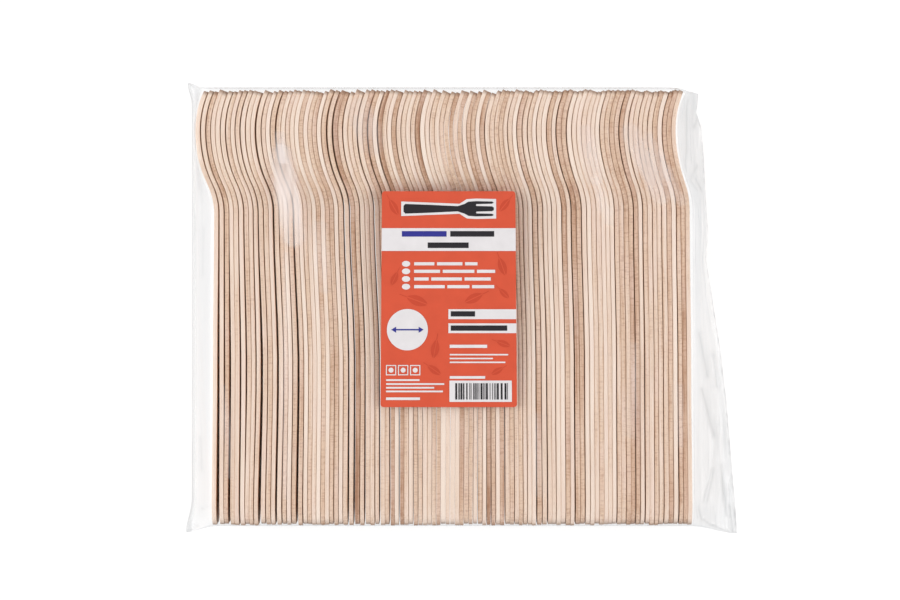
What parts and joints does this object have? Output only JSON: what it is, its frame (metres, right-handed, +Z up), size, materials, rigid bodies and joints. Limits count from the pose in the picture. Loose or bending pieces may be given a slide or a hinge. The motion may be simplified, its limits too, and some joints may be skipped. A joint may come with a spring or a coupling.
{
  "type": "wooden cutlery pack",
  "caption": "Clear film bag of disposable wooden forks stacked face to face on edge, with a plain orange paper label on its upper side.",
  "frame": {"origin": "on the face the pack lies on, under the middle of the stack of forks", "axes": "+X across the pack from the sealed side to the flap, +Y along the forks from handle ends to tines, +Z up to the label"},
  "size_m": [0.2057, 0.17, 0.0333],
  "materials": {
    "birch": "dry, unvarnished veneer",
    "film": "clear gloss film",
    "label_paper": "semi-gloss printed paper"
  },
  "bodies": {
    "root": {"fork_pair_01": "birch", "fork_pair_02": "birch", "fork_pair_03": "birch", "fork_pair_04": "birch", "fork_pair_05": "birch", "fork_pair_06": "birch", "fork_pair_07": "birch", "fork_pair_08": "birch", "fork_pair_09": "birch", "fork_pair_10": "birch", "fork_pair_11": "birch", "fork_pair_12": "birch", "fork_pair_13": "birch", "fork_pair_14": "birch", "fork_pair_15": "birch", "fork_pair_16": "birch", "fork_pair_17": "birch", "fork_pair_18": "birch", "fork_pair_19": "birch", "fork_pair_20": "birch", "fork_pair_21": "birch", "fork_pair_22": "birch", "fork_pair_23": "birch", "fork_pair_24": "birch", "fork_pair_25": "birch", "fork_pair_26": "birch", "fork_pair_27": "birch", "fork_pair_28": "birch", "fork_pair_29": "birch", "fork_pair_30": "birch", "fork_pair_31": "birch", "fork_pair_32": "birch", "fork_pair_33": "birch", "fork_pair_34": "birch", "fork_pair_35": "birch", "fork_pair_36": "birch", "fork_pair_37": "birch", "fork_pair_38": "birch", "fork_pair_39": "birch", "fork_pair_40": "birch", "fork_pair_41": "birch", "fork_pair_42": "birch", "fork_pair_43": "birch", "fork_pair_44": "birch", "fork_pair_45": "birch", "fork_pair_46": "birch", "fork_pair_47": "birch", "fork_pair_48": "birch", "fork_pair_49": "birch", "fork_pair_50": "birch", "bag_film": "film", "label": "label_paper"}
  },
  "joints": []
}
